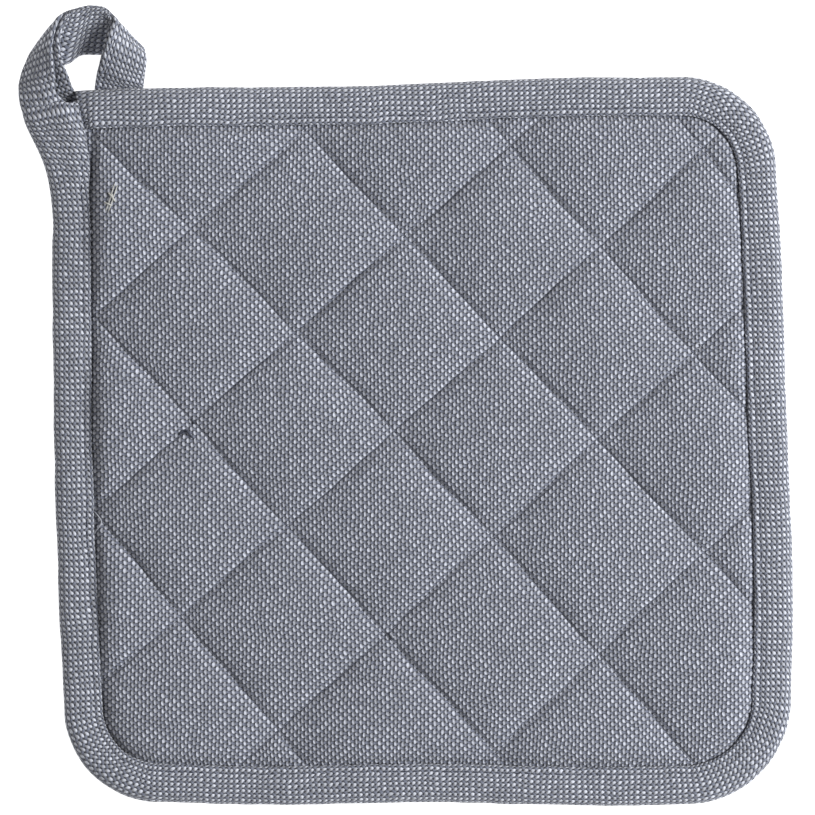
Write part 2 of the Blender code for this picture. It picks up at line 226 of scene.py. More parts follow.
SLATE_ENDS = (
    (1.7, ((-65.9, 2.4, 0.0), (-65.3, 3.2, 0.4), (-63.9, 3.7, 0.5), (-62.9, 2.5, 0.4),
           (-61.8, 1.3, 0.0))),
    (1.6, ((-65.4, 2.6, 0.1), (-64.6, 3.5, 0.4), (-63.4, 3.4, 0.5), (-62.6, 1.8, 0.1))),
    (1.5, ((-62.5, 6.7, 0.1), (-62.0, 6.1, 0.4), (-61.7, 5.3, 0.0))),
    (1.1, ((-8.4, -52.0, 0.1), (-7.6, -53.4, 0.4), (-6.6, -53.9, 0.1))),
)
# Small loops where a seam was started or finished: x, y, loop radius mm
SEAM_LOOPS = (
    (76.6, 26.8, 0.75),
    (-87.8, 83.8, 0.8),
)

# The weave: wander of the threads in thread counts, heights in thread radii, and for each kind of
# thread its half width in spacings where thinnest and plumpest, how much its floats taper, and how
# proud of the cloth it rides.
WANDER = (1.5, 1.5, 0.0)
THREAD_RISE = 0.9
PALE_WIDTHS = (0.19, 0.27, 0.60, 0.34)
SLATE_WIDTHS = (0.28, 0.36, 0.30, -0.10)
# Painted shade in the weave: the heights over which the nooks go from darkest to unshaded, and the lead
# between two threads' tops over which the painted shade along the floats' outlines fades.
PAINTED_NOOK_SHADE_HEIGHTS = (-2.4, 1.2)
OUTLINE_LEAD = 1.5
FLOAT_LEAN = 0.1
WEAVE_RELIEF = 0.28 * MM
TWIST_SIZE = 0.4 * MM
# Scale and detail of the noises, in thread counts: how threads wander, swell, fuzz and fade.
WANDER_NOISE = (0.13, 2.5)
SLUB_NOISE = (0.8, 1.0)
FIBRE_NOISE = (7.0, 2.0)
FADED_NOISE = (0.035, 3.0)
# How far the tone of a float, of its fibres and of the faded cloth ranges, as shares of its colour.
FLOAT_TONES = (0.70, 1.12)
FIBRE_TONES = (0.75, 1.25)
FADED_TONES = (0.86, 1.14)
SLUB_RANGE = (0.25, 0.75)
BESIDE_DROP = -2.0
PALE_EDGE = 2.2
# The lightness left where the painted shade along the floats' outlines is deepest.
OUTLINE_PAINTED_SHADE = 0.12
FIBRE_RELIEF = 0.35
BUMP_STRENGTH = 0.9

# Sockets of Blender's Mix node for colours, and of its Texture Coordinate node.
MIX_SHARE, MIX_FIRST, MIX_SECOND, MIX_RESULT = 0, 6, 7, 2
TEXTURE_OBJECT = 3

FLOOR_REACH = 3.0
FLOOR_DROP = 0.3 * MM
FLOOR_GLOW = 0.95
SKY_STRENGTH = 0.16
# The soft lamps: name, place m, width and height m, watts, colour.
LAMPS = (
    ("window_side", (1.1, 0.03, 0.92), (0.8, 0.8), 27.0, (0.97, 0.985, 1.0)),
    ("fill_side", (-0.8, 0.8, 1.0), (1.2, 1.2), 5.0, (1.0, 0.97, 0.93)),
)

CAMERA_HEIGHT = 0.9
CAMERA_CENTRE = (-3.16 * MM, 9.9 * MM, 4.0 * MM)
SEEN_WIDTH = 224.1 * MM
SENSOR_WIDTH = 36.0


# ------------------------------------------------------------------ finishes

def srgb(code):
    """A hex colour turned to linear light."""
    shares = [int(code[i:i + 2], 16) / 255.0 for i in (0, 2, 4)]
    linear = [c / 12.92 if c <= 0.04045 else ((c + 0.055) / 1.055) ** 2.4 for c in shares]
    return (*linear, 1.0)


def add_node(tree, kind, inputs=None, out=0, **settings):
    """Add a node with its settings; each input is a value or another node's output."""
    node = tree.nodes.new(kind)
    for name, value in settings.items():
        setattr(node, name, value)
    for socket, value in (inputs or {}).items():
        if isinstance(value, bpy.types.NodeSocket):
            tree.links.new(value, node.inputs[socket])
        else:
            node.inputs[socket].default_value = value
    return node.outputs[out]


def weave_group():
    """Plain weave in thread counts: pale threads along V, slate threads along U.

    Height is the cloth's relief in thread radii, Pale says which thread lies on top, Shade is
    painted shade that darkens the nooks where threads dive under each other and the outlines
    where two threads' tops meet, and Tone differs from float to float.
    """
    tree = bpy.data.node_groups.new("plain_weave", "ShaderNodeTree")
    tree.interface.new_socket("Threads", in_out="INPUT", socket_type="NodeSocketVector")
    for name in ("Height", "Pale", "Shade", "Tone"):
        tree.interface.new_socket(name, in_out="OUTPUT", socket_type="NodeSocketFloat")
    entry = tree.nodes.new("NodeGroupInput")
    leave = tree.nodes.new("NodeGroupOutput")
    threads = entry.outputs["Threads"]

    # Hand-loomed threads wander by a good part of their spacing, over runs of 3 to 10 threads.
    drift = add_node(tree, "ShaderNodeTexNoise", {"Vector": threads, "Scale": WANDER_NOISE[0],
                                                  "Detail": WANDER_NOISE[1]}, out=1)
    centred = add_node(tree, "ShaderNodeVectorMath", {0: drift, 1: (0.5, 0.5, 0.5)},
                       operation="SUBTRACT")
    shift = add_node(tree, "ShaderNodeVectorMath", {0: centred, 1: WANDER}, operation="MULTIPLY")
    wandered = add_node(tree, "ShaderNodeVectorMath", {0: threads, 1: shift}, operation="ADD")
    split = add_node(tree, "ShaderNodeSeparateXYZ", {0: wandered}).node
    across, along = split.outputs[0], split.outputs[1]
    pale_number = add_node(tree, "ShaderNodeMath", {0: across}, operation="ROUND")
    slate_number = add_node(tree, "ShaderNodeMath", {0: along}, operation="ROUND")
    from_slate = add_node(tree, "ShaderNodeMath", {0: along, 1: slate_number}, operation="SUBTRACT")
    upright = add_node(tree, "ShaderNodeMath", {0: across, 1: pale_number}, operation="SUBTRACT")
    from_pale = add_node(tree, "ShaderNodeMath", {0: from_slate, 1: FLOAT_LEAN, 2: upright},
                         operation="MULTIPLY_ADD")
    pale_turn = add_node(tree, "ShaderNodeMath", {0: pale_number, 1: along}, operation="ADD")
    slate_turn = add_node(tree, "ShaderNodeMath", {0: slate_number, 1: across}, operation="ADD")

    cell = add_node(tree, "ShaderNodeCombineXYZ", {0: pale_number, 1: slate_number})
    tone = add_node(tree, "ShaderNodeTexWhiteNoise", {"Vector": cell})
    slub = add_node(tree, "ShaderNodeTexNoise", {"Vector": wandered, "Scale": SLUB_NOISE[0],
                                                 "Detail": SLUB_NOISE[1]})

    # Each thread is round across and rises and dives along; it flattens wider where it is on top.
    tops = []
    for offset, turn, rise, (thin, plump, taper, proud) in (
        (from_pale, pale_turn, THREAD_RISE, PALE_WIDTHS),
        (from_slate, slate_turn, -THREAD_RISE, SLATE_WIDTHS),
    ):
        angle = add_node(tree, "ShaderNodeMath", {0: turn, 1: math.pi}, operation="MULTIPLY")
        wave = add_node(tree, "ShaderNodeMath", {0: angle}, operation="COSINE")
        run = add_node(tree, "ShaderNodeMath", {0: wave, 1: rise, 2: proud}, operation="MULTIPLY_ADD")
        spun = add_node(tree, "ShaderNodeMapRange", {"Value": slub, "From Min": SLUB_RANGE[0],
                                                     "From Max": SLUB_RANGE[1], "To Min": thin,
                                                     "To Max": plump})
        swell = add_node(tree, "ShaderNodeMath", {0: run, 1: taper, 2: 1.0}, operation="MULTIPLY_ADD")
        half = add_node(tree, "ShaderNodeMath", {0: spun, 1: swell}, operation="MULTIPLY")
        share = add_node(tree, "ShaderNodeMath", {0: offset, 1: half}, operation="DIVIDE")
        square = add_node(tree, "ShaderNodeMath", {0: share, 1: share}, operation="MULTIPLY")
        inside = add_node(tree, "ShaderNodeMath", {0: 1.0, 1: square}, operation="SUBTRACT")
        within = add_node(tree, "ShaderNodeMath", {0: inside, 1: 0.0}, operation="MAXIMUM")
        bulge = add_node(tree, "ShaderNodeMath", {0: within}, operation="SQRT")
        top = add_node(tree, "ShaderNodeMath", {0: run, 1: bulge}, operation="ADD")
        beside = add_node(tree, "ShaderNodeMath", {0: inside, 1: 0.0}, operation="LESS_THAN")
        tops.append(add_node(tree, "ShaderNodeMath", {0: beside, 1: BESIDE_DROP, 2: top},
                             operation="MULTIPLY_ADD"))
    pale_top, slate_top = tops
    height = add_node(tree, "ShaderNodeMath", {0: pale_top, 1: slate_top}, operation="MAXIMUM")
    lead = add_node(tree, "ShaderNodeMath", {0: pale_top, 1: slate_top}, operation="SUBTRACT")
    pale = add_node(tree, "ShaderNodeMath", {0: lead, 1: PALE_EDGE, 2: 0.5}, operation="MULTIPLY_ADD",
                    use_clamp=True)
    # Painted shade: the lower the weave's surface, the darker its colour, standing in for shade in the
    # nooks; the outline term darkens it again where two threads' tops meet.
    painted_nook_shade = add_node(tree, "ShaderNodeMapRange", {"Value": height, "From Min": PAINTED_NOOK_SHADE_HEIGHTS[0],
                                                 "From Max": PAINTED_NOOK_SHADE_HEIGHTS[1]},
                    interpolation_type="SMOOTHSTEP")
    apart = add_node(tree, "ShaderNodeMath", {0: lead}, operation="ABSOLUTE")
    outline_painted_shade_mask = add_node(tree, "ShaderNodeMapRange", {"Value": apart, "From Max": OUTLINE_LEAD,
                                                  "To Min": OUTLINE_PAINTED_SHADE}, interpolation_type="SMOOTHSTEP")
    shade = add_node(tree, "ShaderNodeMath", {0: painted_nook_shade, 1: outline_painted_shade_mask}, operation="MULTIPLY")
    for name, value in (("Height", height), ("Pale", pale), ("Shade", shade), ("Tone", tone)):
        tree.links.new(value, leave.inputs[name])
    return tree


def woven_cotton(name, weave, slate, painted_nook_shade, pale):
    """Woven cotton: coarse plain weave, white threads over slate-blue ones, matt and a bit fuzzy.

    The eye sees rows of soft pale floats, each a little unlike the next, on a blue-grey ground;
    the darkening in the nooks between the threads and round the floats is painted shade.
    """
    material = bpy.data.materials.new(name)
    material.use_nodes = True
    tree = material.node_tree
    shader = tree.nodes["Principled BSDF"]
    cloth = add_node(tree, "ShaderNodeUVMap", uv_map="cloth")
    spacing = (1.0 / PALE_SPACING, 1.0 / SLATE_SPACING, 1.0)
    threads = add_node(tree, "ShaderNodeVectorMath", {0: cloth, 1: spacing}, operation="MULTIPLY")
    woven = add_node(tree, "ShaderNodeGroup", node_tree=weave).node
    tree.links.new(threads, woven.inputs["Threads"])
    shade, on_top = woven.outputs["Shade"], woven.outputs["Pale"]

    fibre = add_node(tree, "ShaderNodeTexNoise", {"Vector": threads, "Scale": FIBRE_NOISE[0],
                                                  "Detail": FIBRE_NOISE[1]})
    faded = add_node(tree, "ShaderNodeTexNoise", {"Vector": threads, "Scale": FADED_NOISE[0],
                                                  "Detail": FADED_NOISE[1]})
    float_tone, fibre_tone, faded_tone = [
        add_node(tree, "ShaderNodeMapRange", {"Value": value, "To Min": dull, "To Max": bright})
        for value, (dull, bright) in (
            (woven.outputs["Tone"], FLOAT_TONES),
            (fibre, FIBRE_TONES),
            (faded, FADED_TONES),
        )
    ]
    # Painted shade: both kinds of thread darken toward the dark nook colour in the nooks between threads and
    # along the floats' outlines.
    slate_colour = add_node(tree, "ShaderNodeMix", {MIX_SHARE: shade, MIX_FIRST: painted_nook_shade, MIX_SECOND: slate},
                            out=MIX_RESULT, data_type="RGBA")
    pale_colour = add_node(tree, "ShaderNodeMix", {MIX_SHARE: shade, MIX_FIRST: painted_nook_shade, MIX_SECOND: pale},
                           out=MIX_RESULT, data_type="RGBA")
    float_colour = add_node(tree, "ShaderNodeVectorMath", {0: pale_colour, "Scale": float_tone},
                            operation="SCALE")
    colour = add_node(tree, "ShaderNodeMix", {MIX_SHARE: on_top, MIX_FIRST: slate_colour,
                                              MIX_SECOND: float_colour},
                      out=MIX_RESULT, data_type="RGBA")
    fuzzy = add_node(tree, "ShaderNodeVectorMath", {0: colour, "Scale": fibre_tone}, operation="SCALE")
    worn = add_node(tree, "ShaderNodeVectorMath", {0: fuzzy, "Scale": faded_tone}, operation="SCALE")
    tree.links.new(worn, shader.inputs["Base Color"])

    relief = add_node(tree, "ShaderNodeMath", {0: fibre, 1: FIBRE_RELIEF, 2: woven.outputs["Height"]},
                      operation="MULTIPLY_ADD")
    bump = add_node(tree, "ShaderNodeBump", {"Height": relief, "Strength": BUMP_STRENGTH,
                                             "Distance": WEAVE_RELIEF})
    tree.links.new(bump, shader.inputs["Normal"])
    shader.inputs["Roughness"].default_value = 0.9
    shader.inputs["Specular IOR Level"].default_value = 0.25
    shader.inputs["Sheen Weight"].default_value = 0.28
    shader.inputs["Sheen Roughness"].default_value = 0.4
    return material


def sewing_thread(name, colour, dark):
    """Spun cotton sewing thread: matt, mottled by the fine diagonal of its twist."""
    material = bpy.data.materials.new(name)
    material.use_nodes = True
    tree = material.node_tree
    shader = tree.nodes["Principled BSDF"]
    place = add_node(tree, "ShaderNodeTexCoord", out=TEXTURE_OBJECT)
    twist = add_node(tree, "ShaderNodeTexNoise", {"Vector": place, "Scale": 1.0 / TWIST_SIZE,
                                                  "Detail": 2.0})
    mottled = add_node(tree, "ShaderNodeMix", {MIX_SHARE: twist, MIX_FIRST: dark, MIX_SECOND: colour},
                       out=MIX_RESULT, data_type="RGBA")
    tree.links.new(mottled, shader.inputs["Base Color"])
    bump = add_node(tree, "ShaderNodeBump", {"Height": twist, "Strength": 0.6, "Distance": TWIST_RELIEF})
    tree.links.new(bump, shader.inputs["Normal"])
    shader.inputs["Roughness"].default_value = 0.8
    shader.inputs["Specular IOR Level"].default_value = 0.3
    return material


# ------------------------------------------------------------------ shared geometry

def unit(vectors):
    """The same directions, one long."""
    return vectors / np.maximum(np.linalg.norm(vectors, axis=-1, keepdims=True), 1e-12)


def smooth_step(value):
    """An even start and stop between 0 and 1."""
    value = np.clip(value, 0.0, 1.0)
    return value * value * (3.0 - 2.0 * value)


def lift(x, y):
    """How far the loop's tail raises the pad and binding."""
    beyond = np.hypot(x - LIFT_CENTRE[0], y - LIFT_CENTRE[1]) - LIFT_FLAT
    return LIFT_HEIGHT * (1.0 - smooth_step(beyond / LIFT_FADE))


def ripples(points, size, seed):
    """Smooth unevenness, about -1 to 1, with features of the given size."""
    offset = Vector((seed * 7.3, seed * 3.1, seed * 5.7))
    return np.array([noise.noise(Vector(p) / size + offset) for p in points])


def corner_arcs():
    """Where each corner's arc starts and ends, with its centre."""
    arcs = []
    points = np.array([row[:2] for row in OUTLINE_CORNERS]) * MM
    for i, corner in enumerate(points):
        before = unit(points[i - 1] - corner)
        after = unit(points[(i + 1) % 4] - corner)
        radius = OUTLINE_CORNERS[i][2] * MM
        half_angle = math.acos(before @ after) / 2.0
        reach = radius / math.tan(half_angle)
        centre = corner + unit(before + after) * radius / math.sin(half_angle)
        arcs.append((corner + before * reach, corner + after * reach, centre))
    return arcs


def outline():
    """The closed outer edge, clockwise from the sharp top left corner, and the way in at each point."""
    arcs = corner_arcs()
    runs = []
    for i, row in enumerate(OUTLINE_CORNERS):
        if row[2] > 0.0:
            start, end, centre = arcs[i]
            spoke = start - centre
            radius = np.linalg.norm(spoke)
            turn = math.acos(spoke @ (end - centre) / radius ** 2)
            count = round(radius * turn / OUTLINE_STEP)
            angles = math.atan2(spoke[1], spoke[0]) - turn * np.arange(1, count) / count
            runs.append(centre + radius * np.stack((np.cos(angles), np.sin(angles)), axis=1))
        start, end = arcs[i][1], arcs[(i + 1) % 4][0]
        along = end - start
        outward = unit(np.array((-along[1], along[0])))
        count = round(np.linalg.norm(along) / OUTLINE_STEP)
        t = np.arange(count + 1) / count
        bow, wave, ripple = row[3:]
        swell = bow * np.sin(math.pi * t) + wave * np.sin(2 * math.pi * t) + ripple * np.sin(3 * math.pi * t)
        runs.append(start + along * t[:, None] + outward * swell[:, None] * MM)
    points = np.concatenate(runs)[:-1]
    along = unit(np.roll(points, -4, axis=0) - np.roll(points, 4, axis=0))
    return points, np.stack((along[:, 1], -along[:, 0]), axis=1)


def edge_depths(places, edge, inward):
    """How far each place lies inside the outer edge, and the way in there."""
    tree = kdtree.KDTree(len(edge))
    for i, point in enumerate(edge):
        tree.insert((*point, 0.0), i)
    tree.balance()
    nearest = np.array([tree.find((x, y, 0.0))[1] for x, y in places])
    away = places - edge[nearest]
    return np.sum(away * inward[nearest], axis=1), inward[nearest]


def line_at(lines, position):
    """Offset, direction and sag at fractional line numbers."""
    rows = np.array(lines)
    first = np.clip(position.astype(int), 0, len(rows) - 2)
    share = (position - first)[..., None]
    mixed = rows[first] * (1.0 - share) + rows[first + 1] * share
    return mixed[..., 0] * MM, np.radians(mixed[..., 1]), mixed[..., 2] * MM


def waver(along, line):
    """How far a quilting seam strays from its chalk line: a slow drift and a quick one."""
    slow, quick = [np.sin(along / run + start * line) for run, start in (SLOW_STRAY, QUICK_STRAY)]
    return SEAM_STRAY * (slow + QUICK_SHARE * quick)


def quilt_points(down_position, up_position):
    """Where down-running and up-running quilting lines cross in plan."""
    down_offset, down_angle, down_sag = line_at(DOWN_LINES, down_position)
    up_offset, up_angle, up_sag = line_at(UP_LINES, up_position)
    down_x, down_y = np.cos(down_angle), np.sin(down_angle)
    up_x, up_y = np.cos(up_angle), np.sin(up_angle)
    spread = down_y * up_x - down_x * up_y
    x = np.zeros_like(spread)
    y = np.zeros_like(spread)
    for _ in range(SAG_ROUNDS):
        down_along, up_along = x * down_x + y * down_y, x * up_x + y * up_y
        down_reach = down_offset + down_sag * (down_along / SAG_AT) ** 2
        up_reach = up_offset + up_sag * (up_along / SAG_AT) ** 2
        down_reach = down_reach + waver(down_along, down_position)
        up_reach = up_reach + waver(up_along, up_position + 0.5)
        x, y = (
            (-down_reach * up_x - up_reach * down_x) / spread,
            (-up_reach * down_y - down_reach * up_y) / spread,
        )
    return np.stack((x, y), axis=-1)


def make_piece(name, points, faces, finish, cloth=None):
    """A mesh piece that rides with the pad; cloth is each point's place on the flat cloth, metres."""
    mesh = bpy.data.meshes.new(name)
    mesh.from_pydata([tuple(p) for p in points], [], [tuple(f) for f in faces])
    if cloth is not None:
        corners = np.empty(len(mesh.loops), np.int32)
        mesh.loops.foreach_get("vertex_index", corners)
        layer = mesh.uv_layers.new(name="cloth")
        layer.data.foreach_set("uv", cloth[corners].astype(np.float32).ravel())
    mesh.materials.append(finish)
    mesh.shade_smooth()
    piece = bpy.data.objects.new(name, mesh)
    bpy.context.scene.collection.objects.link(piece)
    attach(piece, "root")
    return piece


# ------------------------------------------------------------------ the quilted pad

def puff(share):
    """The wadding's rise across one diamond, from seam to seam."""
    return (4.0 * share * (1.0 - share)) ** CROWN_ROUNDNESS


def seam_distance(share, pitch):
    """How far a place lies from the nearer of its two seams."""
    return np.minimum(share, 1.0 - share) * pitch


def face_heights(places, down, up, depth):
    """Heights of the quilted face, and of the back face that lies on the table."""
    down_share, up_share = down % 1.0, up % 1.0
    near = np.minimum(seam_distance(down_share, LINE_PITCH), seam_distance(up_share, LINE_PITCH))
    spots = np.column_stack((places, np.zeros(len(places))))
    broad = ripples(spots, SAGGING_SIZE, 1)
    creases = ripples(spots, PUCKER_SIZE, 2)
    pinch = smooth_step((depth - PINCH_FROM) / PINCH_WIDTH)
    swell = (PINCHED_CROWN + (1.0 - PINCHED_CROWN) * pinch) * (1.0 + SAGGING_SHARE * broad)
    rise = CROWN * puff(down_share) * puff(up_share) * swell
    seam = PINCHED_HEIGHT + (SEAM_HEIGHT - PINCHED_HEIGHT) * pinch
    fading = np.exp(-near / PUCKER_REACH) * smooth_step(near / PUCKER_START)
    pucker = creases * PUCKER_HEIGHT * fading
    under_tape = smooth_step((RIM_REACH[1] - depth) / (RIM_REACH[1] - RIM_REACH[0]))
    top = (seam + rise + pucker) * (1.0 - under_tape) + RIM_TOP * under_tape
    groove = UNDER_GROOVE * np.exp(-near / GROOVE_WIDTH)
    bottom = groove * (1.0 - under_tape) + RIM_UNDER * under_tape
    raised = lift(places[:, 0], places[:, 1])
    return top + raised, bottom + raised


def pad_cloth(places):
    """Where each place lies on the flat cloth, whose slate threads run a little downhill."""
    u = places[:, 0]
    v = places[:, 1] + places[:, 0] * SLATE_SLOPE
    return np.stack((u, v), axis=1)


def make_pad(edge, inward, finish):
    """The pad's two faces and rim as one skin; also gives back a finder of its surface."""
    steps = np.arange(STEPS_PER_DIAMOND) / STEPS_PER_DIAMOND
    shares = steps - SEAM_CROWDING * np.sin(2.0 * math.pi * steps) / (2.0 * math.pi)
    down = np.concatenate([line + shares for line in range(len(DOWN_LINES) - 1)])
    up = np.concatenate([line + shares for line in range(len(UP_LINES) - 1)])
    down, up = [grid.ravel() for grid in np.meshgrid(down, up, indexing="ij")]
    columns = STEPS_PER_DIAMOND * (len(UP_LINES) - 1)
    places = quilt_points(down, up)
    depth, way_in = edge_depths(places, edge, inward)

    number = np.arange(len(places)).reshape(-1, columns)
    quads = np.stack((number[:-1, :-1], number[1:, :-1], number[1:, 1:], number[:-1, 1:]), axis=-1)
    quads = quads.reshape(-1, 4)
    quads = quads[depth[quads].mean(axis=1) > RIM_INSET]
    sides = np.concatenate([quads[:, [i, (i + 1) % 4]] for i in range(4)])
    order = np.sort(sides, axis=1)
    keys, first, counts = np.unique(order @ (len(places), 1), return_index=True, return_counts=True)
    rim = sides[first[counts == 1]]

    on_rim = np.unique(rim)
    places[on_rim] += way_in[on_rim] * (RIM_INSET - depth[on_rim])[:, None]
    depth[on_rim] = RIM_INSET
    used = np.unique(quads)
    compact = np.full(len(places), -1)
    compact[used] = np.arange(len(used))
    places, down, up, depth = places[used], down[used], up[used], depth[used]
    quads, rim = compact[quads], compact[rim]

    top, bottom = face_heights(places, down, up, depth)
    points = np.concatenate((np.column_stack((places, top)), np.column_stack((places, bottom))))
    below = len(places)
    faces = np.concatenate((
        quads,
        quads[:, ::-1] + below,
        np.stack((rim[:, 1], rim[:, 0], rim[:, 0] + below, rim[:, 1] + below), axis=1),
    ))
    cloth = np.tile(pad_cloth(places), (2, 1))
    pad = make_piece("quilted_pad_cloth", points, faces, finish, cloth)
    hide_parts("quilted_pad")
    return bvhtree.BVHTree.FromPolygons([tuple(p) for p in points], [tuple(f) for f in faces])


# ------------------------------------------------------------------ the bias tape

def smooth_rows(rows, steps):
    """Rows set between the table's rows along a smooth curve through them."""
    rows = np.array(rows, float)
    padded = np.concatenate((rows[:1], rows, rows[-1:]))
    result = []
    for i in range(len(rows) - 1):
        a, b, c, d = padded[i:i + 4]
        for t in np.arange(steps) / steps:
            curve = 2.0 * b + (c - a) * t + (2.0 * a - 5.0 * b + 4.0 * c - d) * t ** 2
            curve = curve + (3.0 * b - a - 3.0 * c + d) * t ** 3
            result.append(curve / 2.0)
    result.append(rows[-1])
    return np.array(result)


def tape_rows(edge, inward):
    """The whole tape, one row a station: stitched edge, fold, opening, lead, ridge place and height."""
    bound = []
    height = (BINDING_OPENING + TAPE_LAYER) / 2.0
    for point, way in zip(edge, inward):
        down_left_side = point[0] < LEFT_SIDE_X and point[1] < LEAN_FROM_Y and way[0] > LEFT_SIDE_WAY
        if not (down_left_side or point[0] > FIRST_END_X):
            continue
        from_start = point[0] - FIRST_END_X if point[1] > LEAN_FROM_Y else FIRST_END_RISE
        spread = smooth_step(from_start / FIRST_END_RISE)
        opening = FIRST_END_OPENING + (BINDING_OPENING - FIRST_END_OPENING) * spread
        inner = point + way * BINDING_WIDTH + (FIRST_END_SLANT * (1.0 - spread), 0.0)
        bound.append((*inner, height, *point, height, opening, 0.0, 0.5, BINDING_DOME))
    bound = np.array(bound)
    metres = np.array((MM,) * 8 + (1.0, MM))
    leaning = np.array(LEANING_TAPE) * metres
    loop = np.array(LOOP_TAPE) * metres
    for part in (bound, leaning):
        part[:, 2] += lift(part[:, 0], part[:, 1])
        part[:, 5] += lift(part[:, 3], part[:, 4])
    joining = bound[[-JOIN_STATIONS, -1]]
    turned = smooth_rows(np.concatenate((joining, leaning, loop)), ROW_STEPS)
    return np.concatenate((bound[:-JOIN_STATIONS], turned))


def layer_section(row_sizes, dimple, side):
    """One layer of the folded tape from its fold to its lip: distances from the fold, heights.

    The stitch draws the two layers together, but no further than to where they meet.
    """
    length, opening, lead, ridge_place, ridge_height = row_sizes
    half = opening[:, None] / 2.0
    skin = TAPE_LAYER / 2.0
    dimple = np.minimum(dimple, np.maximum(half - skin, 0.0))
    reach = (length + (lead if side < 0 else 0.0))[:, None] - skin
    angle = np.linspace(0.0, math.pi / 2.0, FOLD_SAMPLES)
    bend_end = skin + half * FOLD_REACH
    bend_along = skin + half * FOLD_REACH * (1.0 - np.cos(angle))
    bend_up = half * np.sin(angle)
    share = np.linspace(0.0, 1.0, LAYER_SAMPLES + 1)[1:]
    straight_along = bend_end + (reach - bend_end) * share
    straight_up = np.repeat(half, LAYER_SAMPLES, axis=1)
    along = np.concatenate((bend_along, straight_along), axis=1)
    up = np.concatenate((bend_up, straight_up), axis=1)
    if side > 0:
        place = np.clip(along / reach, 0.0, 1.0)
        power = math.log(0.5) / np.log(ridge_place)
        dome = np.sin(math.pi * place ** power[:, None])
        slopes = np.minimum(place / ridge_place[:, None], (1.0 - place) / (1.0 - ridge_place[:, None]))
        crest = 1.0 - np.sqrt((1.0 - slopes) ** 2 + CREST_ROUNDING)
        sharp = smooth_step((ridge_height - BINDING_DOME) / SHARP_RIDGE)[:, None]
        up = up + ridge_height[:, None] * (dome * (1.0 - sharp) + crest * sharp)
    stitch = np.exp(-((reach - along - STITCH_INSET) / STITCH_SPREAD) ** 2)
    return along, side * (up - dimple * stitch)


def tape_frame(rows):
    """Fold, width direction and face direction of each station, with the layers' sizes there."""
    stitched, fold = rows[:, 0:3], rows[:, 3:6]
    across = unit(stitched - fold)
    length = np.linalg.norm(stitched - fold, axis=1)
    middle = (stitched + fold) / 2.0
    face = unit(np.cross(across, np.gradient(middle, axis=0)))
    return fold, across, face, (length, *rows[:, 6:10].T)


def tape_sections(rows):
    """Points of the tape's skin, one ring a station, and how far round the cloth each lies.

    A ring starts at the fold's inside, goes along the face layer to its lip and back over the
    outside to the under layer's lip, and returns to the fold's inside.
    """
    fold, across, face, sizes = tape_frame(rows)
    upper = layer_section(sizes, STITCH_DIMPLE, 1)
    under = layer_section(sizes, STITCH_DIMPLE * UNDER_DIMPLE, -1)
    line_a = np.concatenate((upper[0][:, ::-1], under[0][:, 1:]), axis=1)
    line_z = np.concatenate((upper[1][:, ::-1], under[1][:, 1:]), axis=1)
    slope_a = np.gradient(line_a, axis=1)
    slope_z = np.gradient(line_z, axis=1)
    size = np.hypot(slope_a, slope_z)
    normal_a, normal_z = -slope_z / size, slope_a / size
    flip = np.sign(normal_z[:, :1])
    normal_a, normal_z = normal_a * flip, normal_z * flip

    half = TAPE_LAYER / 2.0
    rings_a, rings_z = [], []
    for sign, order, lip in ((1.0, slice(None), -1), (-1.0, slice(None, None, -1), 0)):
        rings_a.append((line_a + sign * half * normal_a)[:, order])
        rings_z.append((line_z + sign * half * normal_z)[:, order])
        out_a = sign * slope_a[:, lip] / size[:, lip]
        out_z = sign * slope_z[:, lip] / size[:, lip]
        for turn in np.linspace(0.0, math.pi, LIP_SAMPLES + 2)[1:-1]:
            beside = sign * math.cos(turn) * half
            beyond = math.sin(turn) * half
            rings_a.append((line_a[:, lip] + beside * normal_a[:, lip] + beyond * out_a)[:, None])
            rings_z.append((line_z[:, lip] + beside * normal_z[:, lip] + beyond * out_z)[:, None])
    samples = line_a.shape[1]
    fold_place = FOLD_SAMPLES + LAYER_SAMPLES - 1
    inner_fold = samples + LIP_SAMPLES + samples - 1 - fold_place
    ring_a = np.roll(np.concatenate(rings_a, axis=1), -inner_fold, axis=1)
    ring_z = np.roll(np.concatenate(rings_z, axis=1), -inner_fold, axis=1)
    steps = np.hypot(np.diff(ring_a, axis=1), np.diff(ring_z, axis=1))
    round_cloth = np.concatenate((np.zeros((len(rows), 1)), np.cumsum(steps, axis=1)), axis=1)
    outer_fold = (fold_place - inner_fold) % ring_a.shape[1]
    round_cloth = round_cloth - round_cloth[:, outer_fold:outer_fold + 1]
    points = fold[:, None] + across[:, None] * ring_a[..., None] + face[:, None] * ring_z[..., None]
    return points, round_cloth


